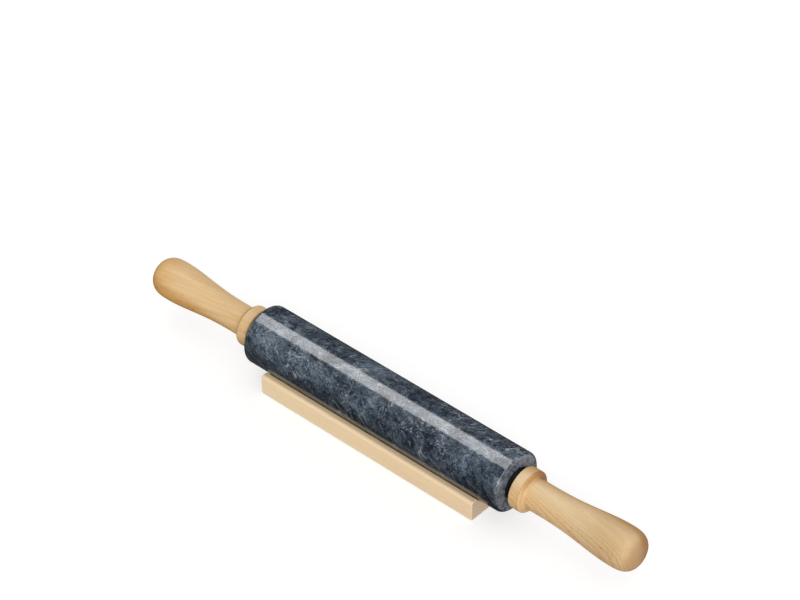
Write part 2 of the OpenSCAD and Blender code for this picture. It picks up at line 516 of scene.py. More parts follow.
@dataclass(frozen=True)
class PolishedMarble:
    """Blue-black marble: crinkled mottling along a slanted flow, dark creases, pale threads and flecks.

    Attributes:
        shades: The stone's ground colours by tone.
        honed: Colour of the dull ground on the sawn end faces.
        honed_span: Values of the crinkle between which that ground comes out, by honed_share.
        sawn: How far a face looks along the axis, from a rim to a sawn end.
        flow_turn: Turn of the flow against the barrel, in degrees.
        dark_below: Height over the axis below which the painted shade on the barrel's lower side is
            deepest.
        pale_above: Height over the axis above which that painted shade is gone.
        dark_share: How much of its brightness the stone keeps where that painted shade is deepest.
    """

    axis_height: float
    shades: tuple[tuple[float, Colour], ...] = (
        (0.38, (0.006, 0.009, 0.014)),
        (0.44, (0.021, 0.029, 0.041)),
        (0.49, (0.048, 0.066, 0.089)),
        (0.54, (0.090, 0.118, 0.152)),
        (0.61, (0.182, 0.219, 0.262)),
    )
    honed: Colour = (0.260, 0.278, 0.335)
    honed_span: Point = (0.44, 0.56)
    honed_share: Point = (0.12, 0.80)
    sawn: Point = (0.90, 0.99)
    bend: Grain = Grain(scale=24.0)
    bend_reach: Triple = (18 * MM, 18 * MM, 18 * MM)
    ripple: Grain = Grain(scale=90.0)
    ripple_reach: Triple = (4.4 * MM, 4.4 * MM, 4.4 * MM)
    flow_turn: Triple = (-30.5, -51.8, 0.0)
    flow_stretch: Triple = (0.33, 1.0, 1.0)
    cloud: Grain = Grain((0.6, 1.0, 1.0), scale=68.0, detail=6.0, roughness=0.62, curl=0.5)
    cloud_share: float = 0.28
    crinkle: Grain = Grain(scale=330.0, detail=7.0, roughness=0.80, curl=0.7)
    crinkle_share: float = 0.72
    drift: Grain = Grain((0.45, 1.0, 1.0), scale=34.0, detail=1.0)
    drift_span: Point = (0.34, 0.66)
    drift_reach: float = 0.020
    spots: Grain = Grain(scale=700.0, curl=0.6)
    spots_shown: Point = (0.56, 0.70)
    spot_places: Grain = Grain(scale=75.0)
    spot_places_shown: Point = (0.44, 0.60)
    spot_share: float = 0.50
    dark_below: float = -3.0 * MM
    pale_above: float = 14.5 * MM
    dark_share: float = 0.40
    polish_span: Point = (0.35, 0.70)
    polish: Point = (0.11, 0.17)
    honed_roughness: float = 0.40
    refraction: float = 1.6
    glint_span: Point = (0.36, 0.64)
    glint: Point = (0.40, 0.58)
    relief: float = 0.10
    relief_depth: float = 0.05 * MM

    def material(self) -> bpy.types.Material:
        """Makes the finish.

        Returns:
            The material.
        """
        sheet = Sheet.new("polished_marble")
        bed = sheet.warp(sheet.place(), self.bend, self.bend_reach)
        rippled = sheet.warp(bed, self.ripple, self.ripple_reach)
        flow = sheet.stretch(sheet.turn(rippled, self.flow_turn), self.flow_stretch)
        cloud = sheet.amount(flow, self.cloud)
        crinkle = sheet.amount(flow, self.crinkle)
        drift = sheet.amount(flow, self.drift)
        drift = sheet.span(drift, *self.drift_span, -self.drift_reach, self.drift_reach)
        mottled = sheet.plus(sheet.times(cloud, self.cloud_share), sheet.times(crinkle, self.crinkle_share))
        tone = sheet.plus(mottled, drift)
        colour = sheet.ramp(tone, self.shades)
        colour = CREASES.over(sheet, colour, bed, flow)
        colour = THREADS.over(sheet, colour, bed, flow)
        colour = sheet.blend(sheet.times(self.flecks(sheet, bed, flow), self.spot_share), colour, VEIN)
        colour = WISPS.over(sheet, colour, bed, flow)
        # Painted shade: the barrel's lower side, as it lies at rest, is darkened.
        colour = sheet.blend(1.0, colour, self.depth(sheet, bed), "MULTIPLY")
        sawn = sheet.span(sheet.end_on(), *self.sawn)
        ground = sheet.times(sawn, sheet.span(crinkle, *self.honed_span, *self.honed_share))
        shine = sheet.span(crinkle, *self.polish_span, *self.polish)
        inputs = {
            "Base Color": sheet.blend(ground, colour, self.honed),
            "Roughness": sheet.between(sawn, shine, self.honed_roughness),
            "IOR": self.refraction,
            "Specular IOR Level": sheet.span(cloud, *self.glint_span, *self.glint),
            "Normal": sheet.bump(tone, self.relief, self.relief_depth),
        }
        return sheet.surface(inputs)

    def depth(self, sheet: Sheet, bed: Socket) -> Socket:
        """A grey of painted shade, which darkens the barrel's lower side as it lies at rest.

        Args:
            sheet: The node sheet.
            bed: Coordinates in the bed.

        Returns:
            The grey, to multiply the stone's colour by.
        """
        low, high = self.axis_height + self.dark_below, self.axis_height + self.pale_above
        share = sheet.span(sheet.part(bed, "Z"), low, high, self.dark_share, 1.0)
        return sheet.add("ShaderNodeCombineXYZ", {"X": share, "Y": share, "Z": share}).outputs["Vector"]

    def flecks(self, sheet: Sheet, bed: Socket, flow: Socket) -> Socket:
        """Pale flecks of about a millimetre, thick in some places and missing in others."""
        spots = sheet.span(sheet.amount(flow, self.spots), *self.spots_shown)
        return sheet.times(spots, sheet.span(sheet.amount(bed, self.spot_places), *self.spot_places_shown))


@dataclass(frozen=True)
class Growth:
    """What the colours of a piece of wood are mixed from: sockets of one node sheet.

    Attributes:
        log: Coordinates in the straight log.
        grown: The same, after the wander of the grain.
        year: 0 in the early wood of a year to 1 in its late wood.
        streak: The quick change of the grain, and broad its slow one.
        along_rings: How far the surface lies along the year rings, from 0 to 1.
    """

    log: Socket
    grown: Socket
    year: Socket
    streak: Socket
    broad: Socket
    pores: Socket
    along_rings: Socket


@dataclass(frozen=True)
class HandleTones:
    """How the colour of one handle changes along it and round it, by distance from the pin's middle: tones
    of the wood, and painted shade.

    Attributes:
        tip: Tone towards the tip.
        under_shade: Painted shade along the lower side, with some of the wood's own deeper colour.
        under_tilt: How fast the edge of that tone climbs towards the tip.
        over: Painted shade along the far upper side.
        band_end_shade: Brown of the painted shade where the collar's band ends.
        line: Distances past the band between which the thin brown line of painted shade comes out and goes
            again.
        shade: The same for the wider painted shade behind it, which shows on top alone, above shade_over.
        heart_and_shade: Colour of a small reddish-brown patch on top of the shoulder: partly heartwood,
            partly painted shade.
        heart_share: How much of it shows in the paler and in the darker grain.
        ragged: How far the grain moves the edges of the tones.
        end_grain_edge: Distances between which the end grain comes out.
        collar_end_grain: How much of it shows nearer than that.
    """

    tip: Colour
    tip_from: float
    under_shade: Colour
    under_tilt: float
    over: Colour = EVEN
    band_end_shade: Colour = (0.72, 0.53, 0.35)
    band_end: float = 138.3 * MM
    line: tuple[float, ...] = (0.0, 0.3 * MM, 0.5 * MM, 1.3 * MM)
    line_share: float = 0.6
    shade: tuple[float, ...] = (0.0, 0.5 * MM, 1.5 * MM, 6 * MM)
    shade_over: Point = (6 * MM, 15 * MM)
    heart_and_shade: Colour = (0.36, 0.165, 0.072)
    heart_at: Triple | None = None
    heart_r: float = 7.5 * MM
    heart_core: float = 0.35
    heart_edge: Point = (0.0, 0.6 * MM)
    heart_grain: Point = (0.35, 0.60)
    heart_share: Point = (0.72, 0.88)
    tip_reach: float = 32 * MM
    grip_middle: float = 190 * MM
    under_edge: Point = (-4 * MM, 7 * MM)
    over_edge: Point = (-2 * MM, 7 * MM)
    ragged: float = 3 * MM
    ragged_span: Point = (0.3, 0.7)
    end_grain_edge: Point = (150 * MM, 200 * MM)
    collar_end_grain: float = 0.12

    def held_back(self, sheet: Sheet, share: Socket) -> Socket:
        """Holds the end grain back near the collar."""
        out = sheet.number("ABSOLUTE", sheet.part(sheet.place(), "X"))
        return sheet.times(share, sheet.span(out, *self.end_grain_edge, self.collar_end_grain, 1.0))

    def laid_over(self, sheet: Sheet, colour: Socket, growth: Growth, axis_height: float) -> Socket:
        """Lays the tones and the painted shade over the colour of the plain wood.

        Args:
            sheet: The node sheet.
            colour: The plain wood's colour.
            growth: The wood's grain.
            axis_height: Height of the pin's axis at rest.

        Returns:
            The toned colour.
        """
        place = sheet.place()
        out = sheet.number("ABSOLUTE", sheet.part(place, "X"))
        height = sheet.number("SUBTRACT", sheet.part(place, "Z"), axis_height)
        ragged = sheet.span(growth.broad, *self.ragged_span, -self.ragged, self.ragged)
        far = sheet.plus(out, ragged)
        at_tip = sheet.span(far, self.tip_from, self.tip_from + self.tip_reach)
        colour = sheet.blend(at_tip, colour, self.tip, "MULTIPLY")
        # Painted shade along the lower side, with some of the wood's own deeper colour.
        climb = sheet.times(sheet.number("SUBTRACT", far, self.grip_middle), self.under_tilt)
        below = sheet.span(sheet.plus(sheet.plus(height, ragged), climb), *self.under_edge, 1.0, 0.0)
        colour = sheet.blend(below, colour, self.under_shade, "MULTIPLY")
        # Painted shade along the far upper side.
        behind = sheet.span(sheet.plus(sheet.part(place, "Y"), ragged), *self.over_edge)
        colour = sheet.blend(behind, colour, self.over, "MULTIPLY")
        past_band = sheet.number("SUBTRACT", out, self.band_end)
        # Painted shade behind the collar's band: a thin brown line, and a wider shade on top.
        colour = sheet.blend(self.band_end_shade_share(sheet, past_band, height), colour, self.band_end_shade, "MULTIPLY")
        if self.heart_at is None:
            return colour
        # A reddish-brown patch on top of the shoulder: partly heartwood, partly painted shade.
        reach = sheet.length(sheet.vector("SUBTRACT", place, self.heart_at))
        near = sheet.span(reach, self.heart_core * self.heart_r, self.heart_r, 1.0, 0.0)
        near = sheet.times(near, sheet.span(past_band, *self.heart_edge))
        near = sheet.times(near, sheet.span(growth.streak, *self.heart_grain, *self.heart_share))
        return sheet.blend(near, colour, self.heart_and_shade)

    def band_end_shade_share(self, sheet: Sheet, past_band: Socket, height: Socket) -> Socket:
        """The painted shade behind the collar's band: a thin brown line, and a wider shade on top.

        Args:
            sheet: The node sheet.
            past_band: Distance past the band's end.
            height: Height over the pin's axis.

        Returns:
            How much of the brown shows, from 0 to 1.
        """
        line = sheet.span(past_band, *self.line[:2])
        line = sheet.times(line, sheet.span(past_band, *self.line[2:], self.line_share, 0.0))
        shade = sheet.span(past_band, *self.shade[:2])
        shade = sheet.times(shade, sheet.span(past_band, *self.shade[2:], 1.0, 0.0))
        shade = sheet.times(shade, sheet.span(height, *self.shade_over))
        return sheet.number("MAXIMUM", line, shade)


@dataclass(frozen=True)
class Beech:
    """Beech with its grain along X: year rings, fine pores and short brown dashes.

    Attributes:
        light: Colour of the early wood, and deep that of the late wood.
        end_grain: Colour where the grain is cut across.
        fleck: Colour of the pores and the dashes.
        ring_turn: Turn of the log about its grain, in degrees.
        grain_tilt: Tilt of the grain against X, in degrees.
        ring_gap: Width of a year ring.
        at: Where in the log the piece was cut.
        ring_share: How strongly the rings show along the grain.
        end_rings: How strongly they show in the end grain.
        late: The share of a year in which its late wood comes, and cut_off where it ends.
        end_span: How far a face looks along the grain, from long grain to end grain.
        dash_cells: Cells per metre that each may hold one dash.
        dash_size: Distances from its middle between which a dash fades.
        dash_kept: Which of the cells hold one.
        dash_floor: How much of a dash shows in the places and the early wood that have few.
    """

    name: str
    light: Colour
    deep: Colour
    end_grain: Colour
    fleck: Colour
    fleck_share: float
    ring_turn: float
    grain_tilt: float
    ring_gap: float
    roughness: float
    at: Triple
    late: Point = (0.35, 0.96)
    cut_off: Point = (0.965, 1.0)
    ring_share: float = 0.34
    ring_facing: Point = (0.3, 0.9)
    ring_floor: float = 0.4
    end_rings: float = 0.22
    end_span: Point = (0.35, 0.95)
    end_share: float = 0.85
    tones: HandleTones | None = None
    wander: Grain = Grain((6.0, 26.0, 26.0), detail=3.0)
    wander_reach: Triple = (0.0, 7 * MM, 7 * MM)
    streak: Grain = Grain((14.0, 260.0, 260.0), detail=4.0, roughness=0.6)
    streak_span: Point = (0.35, 0.75)
    streak_share: float = 0.42
    broad: Grain = Grain((5.0, 38.0, 38.0))
    broad_span: Point = (0.35, 0.70)
    broad_share: float = 0.32
    pores: Grain = Grain((150.0, 3400.0, 3400.0))
    pore_span: Point = (0.56, 0.72)
    pore_share: float = 0.22
    dots: Grain = Grain((900.0, 2600.0, 2600.0), detail=1.0)
    dot_span: Point = (0.5, 0.7)
    dot_share: float = 0.35
    dash_cells: Triple = (210.0, 1150.0, 1150.0)
    dash_size: Point = (0.16, 0.36)
    dash_kept: Point = (0.10, 0.25)
    dash_places: Grain = Grain(scale=55.0)
    dash_places_shown: Point = (0.36, 0.60)
    dash_late: Point = (0.2, 0.7)
    dash_floor: float = 0.45
    dash_long: Point = (0.70, 0.95)
    dash_facing: Point = (0.55, 0.90)
    dash_least: float = 0.10
    gloss_span: Point = (0.3, 0.7)
    gloss_reach: float = 0.1
    specular: float = 0.25
    relief: float = 0.12
    relief_depth: float = 0.05 * MM

    def material(self, axis: PinAxis) -> bpy.types.Material:
        """Makes the finish.

        Args:
            axis: Where the pin lies.

        Returns:
            The material.
        """
        sheet = Sheet.new(self.name)
        growth = self.growth(sheet)
        end_on = sheet.end_on()
        colour = self.long_grain(sheet, growth, end_on)
        end_share = sheet.span(end_on, *self.end_span, 0.0, self.end_share)
        if self.tones is not None:
            end_share = self.tones.held_back(sheet, end_share)
        colour = sheet.blend(end_share, colour, self.cut_across(sheet, growth))
        if self.tones is not None:
            colour = self.tones.laid_over(sheet, colour, growth, axis.height)
        gloss = (self.roughness, self.roughness + self.gloss_reach)
        inputs = {
            "Base Color": colour,
            "Roughness": sheet.span(growth.streak, *self.gloss_span, *gloss),
            "Specular IOR Level": self.specular,
            "Normal": sheet.bump(growth.pores, self.relief, self.relief_depth),
        }
        return sheet.surface(inputs)

    def growth(self, sheet: Sheet) -> Growth:
        """Lays out the log that the piece is cut from.

        Args:
            sheet: The node sheet.

        Returns:
            The wood's grain.
        """
        log_turn = (self.ring_turn, self.grain_tilt, 0.0)
        log = sheet.turn(sheet.place(), log_turn, self.at)
        grown = sheet.warp(log, self.wander, self.wander_reach)
        rings = sheet.number("FRACT", sheet.number("DIVIDE", sheet.part(grown, "Z"), self.ring_gap))
        late = sheet.span(rings, *self.late)
        cut_off = sheet.span(rings, *self.cut_off, 1.0, 0.0)
        facing = sheet.turn(sheet.normal(), log_turn)
        return Growth(
            log=log,
            grown=grown,
            year=sheet.times(late, cut_off),
            streak=sheet.amount(grown, self.streak),
            broad=sheet.amount(grown, self.broad),
            pores=sheet.amount(grown, self.pores),
            along_rings=sheet.number("ABSOLUTE", sheet.part(facing, "Z")),
        )

    def long_grain(self, sheet: Sheet, growth: Growth, end_on: Socket) -> Socket:
        """The colour of the wood along its grain.

        Args:
            sheet: The node sheet.
            growth: The wood's grain.
            end_on: How far the surface faces along the grain.

        Returns:
            The colour.
        """
        least = self.ring_floor * self.ring_share
        ring_share = sheet.span(growth.along_rings, *self.ring_facing, least, self.ring_share)
        share = sheet.times(growth.year, ring_share)
        share = sheet.plus(share, sheet.span(growth.streak, *self.streak_span, 0.0, self.streak_share))
        broad = sheet.span(growth.broad, *self.broad_span, 0.0, self.broad_share)
        share = sheet.number("ADD", share, broad, clamp=True)
        colour = sheet.blend(share, self.light, self.deep)
        pores = sheet.span(growth.pores, *self.pore_span, 0.0, self.pore_share)
        colour = sheet.blend(pores, colour, self.fleck)
        along = sheet.span(end_on, *self.dash_long, 1.0, 0.0)
        return sheet.blend(sheet.times(self.dashes(sheet, growth), along), colour, self.fleck)

    def cut_across(self, sheet: Sheet, growth: Growth) -> Socket:
        """The colour of the end grain, with its rings and open pores.

        Args:
            sheet: The node sheet.
            growth: The wood's grain.

        Returns:
            The colour.
        """
        colour = sheet.blend(sheet.times(growth.year, self.end_rings), self.end_grain, self.fleck)
        dots = sheet.span(sheet.amount(growth.grown, self.dots), *self.dot_span, 0.0, self.dot_share)
        return sheet.blend(dots, colour, self.fleck)

    def dashes(self, sheet: Sheet, growth: Growth) -> Socket:
        """The short dashes along the grain, which lie mostly in its darker lines.

        Args:
            sheet: The node sheet.
            growth: The wood's grain.

        Returns:
            How much of a dash shows, from 0 to 1.
        """
        cells = sheet.stretch(growth.log, self.dash_cells)
        dots = sheet.add("ShaderNodeTexVoronoi", {"Vector": cells, "Scale": 1.0}).outputs
        dash = sheet.span(dots["Distance"], *self.dash_size, 1.0, 0.0)
        dash = sheet.times(dash, sheet.span(sheet.part(dots["Color"], "X"), *self.dash_kept))
        places = sheet.amount(growth.log, self.dash_places)
        dash = sheet.times(dash, sheet.span(places, *self.dash_places_shown, self.dash_floor, 1.0))
        dash = sheet.times(dash, sheet.span(growth.year, *self.dash_late, self.dash_floor, 1.0))
        low, high = self.dash_least * self.fleck_share, self.fleck_share
        return sheet.times(dash, sheet.span(growth.along_rings, *self.dash_facing, low, high))


HONEY_LEFT = Beech(
    name="honey_beech_left",
    light=(0.775, 0.545, 0.290),
    deep=(0.62, 0.385, 0.160),
    end_grain=(0.56, 0.320, 0.140),
    fleck=(0.38, 0.200, 0.080),
    fleck_share=0.8,
    ring_turn=-105.0,
    grain_tilt=-7.0,
    ring_gap=3.4 * MM,
    roughness=0.50,
    at=(0.0, 0.013, 0.041),
    tones=HandleTones(
        tip=(0.96, 0.84, 0.62),
        tip_from=207 * MM,
        # Painted shade along the lower side, with some of the wood's own deeper colour.
        under_shade=(0.87, 0.71, 0.48),
        under_tilt=-0.12,
    ),
)
HONEY_RIGHT = Beech(
    name="honey_beech_right",
    light=(0.770, 0.570, 0.328),
    deep=(0.62, 0.420, 0.200),
    end_grain=(0.60, 0.370, 0.200),
    fleck=(0.29, 0.135, 0.05),
    fleck_share=1.0,
    ring_turn=-104.0,
    grain_tilt=9.0,
    ring_gap=1.7 * MM,
    roughness=0.50,
    at=(0.0, 0.031, 0.017),
    ring_share=0.55,
    tones=HandleTones(
        tip=(0.87, 0.82, 0.76),
        tip_from=185 * MM,
        # Painted shade along the lower side, with some of the wood's own deeper colour.
        under_shade=(0.97, 0.88, 0.78),
        under_tilt=0.15,
        # Painted shade along the far upper side.
        over=(0.74, 0.60, 0.42),
        # Where the reddish-brown patch of heartwood and painted shade sits on the shoulder.
        heart_at=(0.1412, 0.0106, 0.0428),
    ),
)
PALE = Beech(
    name="pale_beech",
    light=(0.91, 0.708, 0.455),
    deep=(0.84, 0.612, 0.370),
    end_grain=(0.76, 0.580, 0.425),
    fleck=(0.46, 0.300, 0.17),
    fleck_share=0.30,
    ring_turn=24.0,
    grain_tilt=5.0,
    ring_gap=3.0 * MM,
    roughness=0.62,
    at=(0.0, 0.007, 0.023),
    end_rings=0.30,
)


@dataclass(frozen=True)
class TurnedMetal:
    """Metal that was turned or drawn, with fine lines round or along the pin's axis."""

    name: str
    colour: Colour
    roughness: float
    grooves: Grain
    dulled: float = 0.72
    dull_span: Point = (0.35, 0.70)
    gloss_span: Point = (0.3, 0.7)
    gloss_reach: float = 0.14
    relief: float = 0.15
    relief_depth: float = 0.02 * MM

    def material(self) -> bpy.types.Material:
        """Makes the finish.

        Returns:
            The material.
        """
        sheet = Sheet.new(self.name)
        grooves = sheet.amount(sheet.place(), self.grooves)
        dull = tuple(self.dulled * part for part in self.colour)
        colour = sheet.blend(sheet.span(grooves, *self.dull_span), self.colour, dull)
        roughest = self.roughness + self.gloss_reach
        gloss = sheet.span(grooves, *self.gloss_span, self.roughness, roughest)
        relief = sheet.bump(grooves, self.relief, self.relief_depth)
        return sheet.surface({"Base Color": colour, "Metallic": 1.0, "Roughness": gloss, "Normal": relief})


DRAWN = Grain((12.0, 2600.0, 2600.0), detail=3.0, roughness=0.6)
TURNED = Grain((3200.0, 40.0, 40.0), detail=3.0, roughness=0.6)
STEEL = TurnedMetal("drawn_steel", (0.60, 0.61, 0.63), 0.28, DRAWN)
BRASS = TurnedMetal("turned_brass", (0.72, 0.55, 0.25), 0.30, TURNED)


@dataclass(frozen=True)
class MouldedNylon:
    """Black nylon with the faint grain of its mould, darkened further as painted shade in the gaps between
    the collars and the barrel.
    """

    # Darker than plain black nylon: painted shade of the gaps between the collars and the barrel.
    colour: Colour = (0.006, 0.006, 0.007)
    worn: Colour = (0.016, 0.016, 0.018)
    roughness: float = 0.5
    specular: float = 0.08
    mould: Grain = Grain(scale=2400.0, detail=3.0, roughness=0.6)
    worn_span: Point = (0.40, 0.75)
    gloss_span: Point = (0.3, 0.7)
    gloss_reach: float = 0.15
    relief: float = 0.2
    relief_depth: float = 0.02 * MM

    def material(self) -> bpy.types.Material:
        """Makes the finish.

        Returns:
            The material.
        """
        sheet = Sheet.new("black_nylon")
        mould = sheet.amount(sheet.place(), self.mould)
        roughest = self.roughness + self.gloss_reach
        inputs = {
            "Base Color": sheet.blend(sheet.span(mould, *self.worn_span), self.colour, self.worn),
            "Roughness": sheet.span(mould, *self.gloss_span, self.roughness, roughest),
            "Specular IOR Level": self.specular,
            "Normal": sheet.bump(mould, self.relief, self.relief_depth),
        }
        return sheet.surface(inputs)


@dataclass
class Roller:
    """The marble barrel and the two bushes pressed into its ends."""

    axis: PinAxis
    rim: float = 2.8 * MM
    core_r: float = 7.0 * MM
    flange_r: float = 13.05 * MM
    flange_seat: float = 1.6 * MM
    rim_steps: int = 14
    faces_round: int = 192
    rings_along: int = 50

    def half_outline(self) -> list[Point]:
        """The outline's right half.

        Returns:
            Points from the core's mouth, over the rim, to the start of the polished face.
        """
        end = self.axis.half_barrel
        rim = self.rim
        seat = end - self.flange_seat
        edge = arc((end - rim, self.axis.barrel_r - rim), (rim, rim), 0.0, 90.0, self.rim_steps)
        return [(seat, self.core_r), (seat, self.flange_r), (end, self.flange_r), *edge]

    def outline(self) -> list[Point]:
        """The whole outline.

        Returns:
            Points of the right end, the polished face and the left end.
        """
        right = self.half_outline()
        start = right[-1][0]
        shares = [i / self.rings_along for i in range(1, self.rings_along)]
        face = [(start - 2 * start * share, self.axis.barrel_r) for share in shares]
        return [*right, *face, *((-x, r) for x, r in reversed(right))]

    def build(self, nodes: dict[str, bpy.types.Object]) -> None:
        """Makes the polished barrel and dresses the bushes.

        Args:
            nodes: The CAD nodes by name.
        """
        mesh = turned(self.outline(), self.axis.height, self.faces_round, closed=True)
        barrel = shown_piece(mesh, "polished_barrel", PolishedMarble(self.axis.height).material())
        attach(barrel, "roller")
        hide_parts("marble_barrel")
        LOG.info("%s: %d faces", barrel.name, len(barrel.data.polygons))
        nylon = MouldedNylon().material()
        for name in ("left_bush", "right_bush"):
            dress(nodes[name], nylon)


def dress(node: bpy.types.Object, finish: bpy.types.Material) -> None:
    """Gives a CAD node its finish.

    Args:
        node: The CAD node's object.
        finish: The material.
    """
    node.data.materials.clear()
    node.data.materials.append(finish)
    LOG.info("%s: dressed in %s", node.name, finish.name)


@dataclass
class Handle:
    """A turned beech handle, from its collar's back face to its tip.

    Attributes:
        swell_lag: Above 1, the swelling starts later and ends faster.
        tip_fullness: 2 makes the tip a half ellipse, and more makes it blunter.
    """

    axis: PinAxis
    end: End
    finish: Beech
    collar_r: float = 16.7 * MM
    collar_band: float = 8.2 * MM
    band_marks: tuple[float, ...] = (0.35, 0.6, 0.85)
    back_round: float = 1.2 * MM
    shoulder: float = 2.0 * MM
    cove_r: float = 2.4 * MM
    neck_root_r: float = 12.2 * MM
    neck_r: float = 12.0 * MM
    neck_at: float = 19.0 * MM
    bulb_r: float = 16.4 * MM
    bulb_to_tip: float = 18.0 * MM
    swell_lag: float = 1.35
    tip_fullness: float = 3.0
    seat_r: float = 7.55 * MM
    seat_depth: float = 1.5 * MM
    socket_r: float = 6.05 * MM
    socket_depth: float = 25.0 * MM
    drill_r: float = 4.3 * MM
    drill_depth: float = 36.0 * MM
    drill_point: float = 2.6 * MM
    faces_round: int = 144
    back_steps: int = 8
    shoulder_steps: int = 14
    cove_steps: int = 10
    neck_steps: int = 8
    swell_steps: int = 56
    dome_steps: int = 40

    @property
    def side(self) -> str:
        """The name of the handle's end, as the nodes have it."""
        return self.end.name.lower()

    @property
    def back(self) -> float:
        """Distance of the collar's back face from the middle of the pin."""
        low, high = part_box(f"{self.side}_handle")
        return low.x if self.end is End.RIGHT else -high.x

    @property
    def length(self) -> float:
        """Length from the collar's back face to the tip."""
        return self.axis.tip - self.back

    def collar_outline(self) -> list[Point]:
        """The collar's part of the outline.

        Returns:
            Points of its round back edge, its band, the shoulder and the cove to the neck.
        """
        r, back, cove = self.collar_r, self.back_round, self.cove_r
        root = self.neck_root_r + cove
        cove_at = self.collar_band + self.shoulder + cove
        return [
            *arc((back, r - back), (back, back), 180.0, 90.0, self.back_steps),
            *((self.collar_band * share, r) for share in self.band_marks),
            *arc((self.collar_band, root), (self.shoulder, r - root), 90.0, 0.0, self.shoulder_steps),
            *arc((cove_at, root), (cove, cove), 180.0, 270.0, self.cove_steps),
        ]

    def grip_outline(self) -> list[Point]:
        """The grip's part of the outline.

        Returns:
            Points of the neck, the long swelling to the bulb and the blunt dome.
        """
        root = (self.collar_band + self.shoulder + self.cove_r, self.neck_root_r)
        neck = (self.neck_at, self.neck_r)
        bulb = (self.length - self.bulb_to_tip, self.bulb_r)
        power = 2 / self.tip_fullness
        dome = []
        for i in range(1, self.dome_steps):
            turn = math.radians(90 * i / self.dome_steps)
            rise = self.bulb_to_tip * math.sin(turn) ** power
            dome.append((bulb[0] + rise, bulb[1] * math.cos(turn) ** power))
        return [
            *self.eased(root, neck, self.neck_steps, 1.0),
            *self.eased(neck, bulb, self.swell_steps, self.swell_lag),
            *dome,
            (self.length, 0.0),
        ]

    @staticmethod
    def eased(start: Point, stop: Point, steps: int, lag: float) -> list[Point]:
        """A smooth swelling between two points, level at both.

        Args:
            start: The first point.
            stop: The last point.
            steps: Number of steps between them.
            lag: Above 1, it starts later and ends faster.

        Returns:
            The points, without the first.
        """
        points = []
        for i in range(1, steps + 1):
            share = i / steps
            rise = (1 - math.cos(math.pi * share**lag)) / 2
            points.append((start[0] + (stop[0] - start[0]) * share, start[1] + (stop[1] - start[1]) * rise))
        return points

    def bore_outline(self) -> list[Point]:
        """The drilled hole's part of the outline.

        Returns:
            Points from the drill's point out to the collar's back face.
        """
        return [
            (self.drill_depth + self.drill_point, 0.0),
            (self.drill_depth, self.drill_r),
            (self.socket_depth, self.drill_r),
            (self.socket_depth, self.socket_r),
            (self.seat_depth, self.socket_r),
            (self.seat_depth, self.seat_r),
            (0.0, self.seat_r),
        ]

    def build(self) -> None:
        """Makes the handle in place of its CAD node."""
        outline = [*self.bore_outline(), *self.collar_outline(), *self.grip_outline()]
        placed = [(self.end.value * (self.back + x), r) for x, r in outline]
        mesh = turned(placed, self.axis.height, self.faces_round, closed=False)
        handle = shown_piece(mesh, f"turned_handle_{self.side}", self.finish.material(self.axis))
        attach(handle, "grips")
        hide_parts(f"{self.side}_handle")
        LOG.info("%s: %d faces", handle.name, len(handle.data.polygons))


@dataclass
class Grips:
    """Everything that the hands hold still: both handles, the rod, and what fastens them."""

    axis: PinAxis

    def build(self, nodes: dict[str, bpy.types.Object]) -> None:
        """Makes the handles and dresses the metal pieces.

        Args:
            nodes: The CAD nodes by name.
        """
        for end, finish in ((End.LEFT, HONEY_LEFT), (End.RIGHT, HONEY_RIGHT)):
            Handle(self.axis, end, finish).build()
        steel = STEEL.material()
        brass = BRASS.material()
        for name in ("axle_rod", "left_washer", "right_washer"):
            dress(nodes[name], steel)
        for name in ("left_insert", "right_insert"):
            dress(nodes[name], brass)


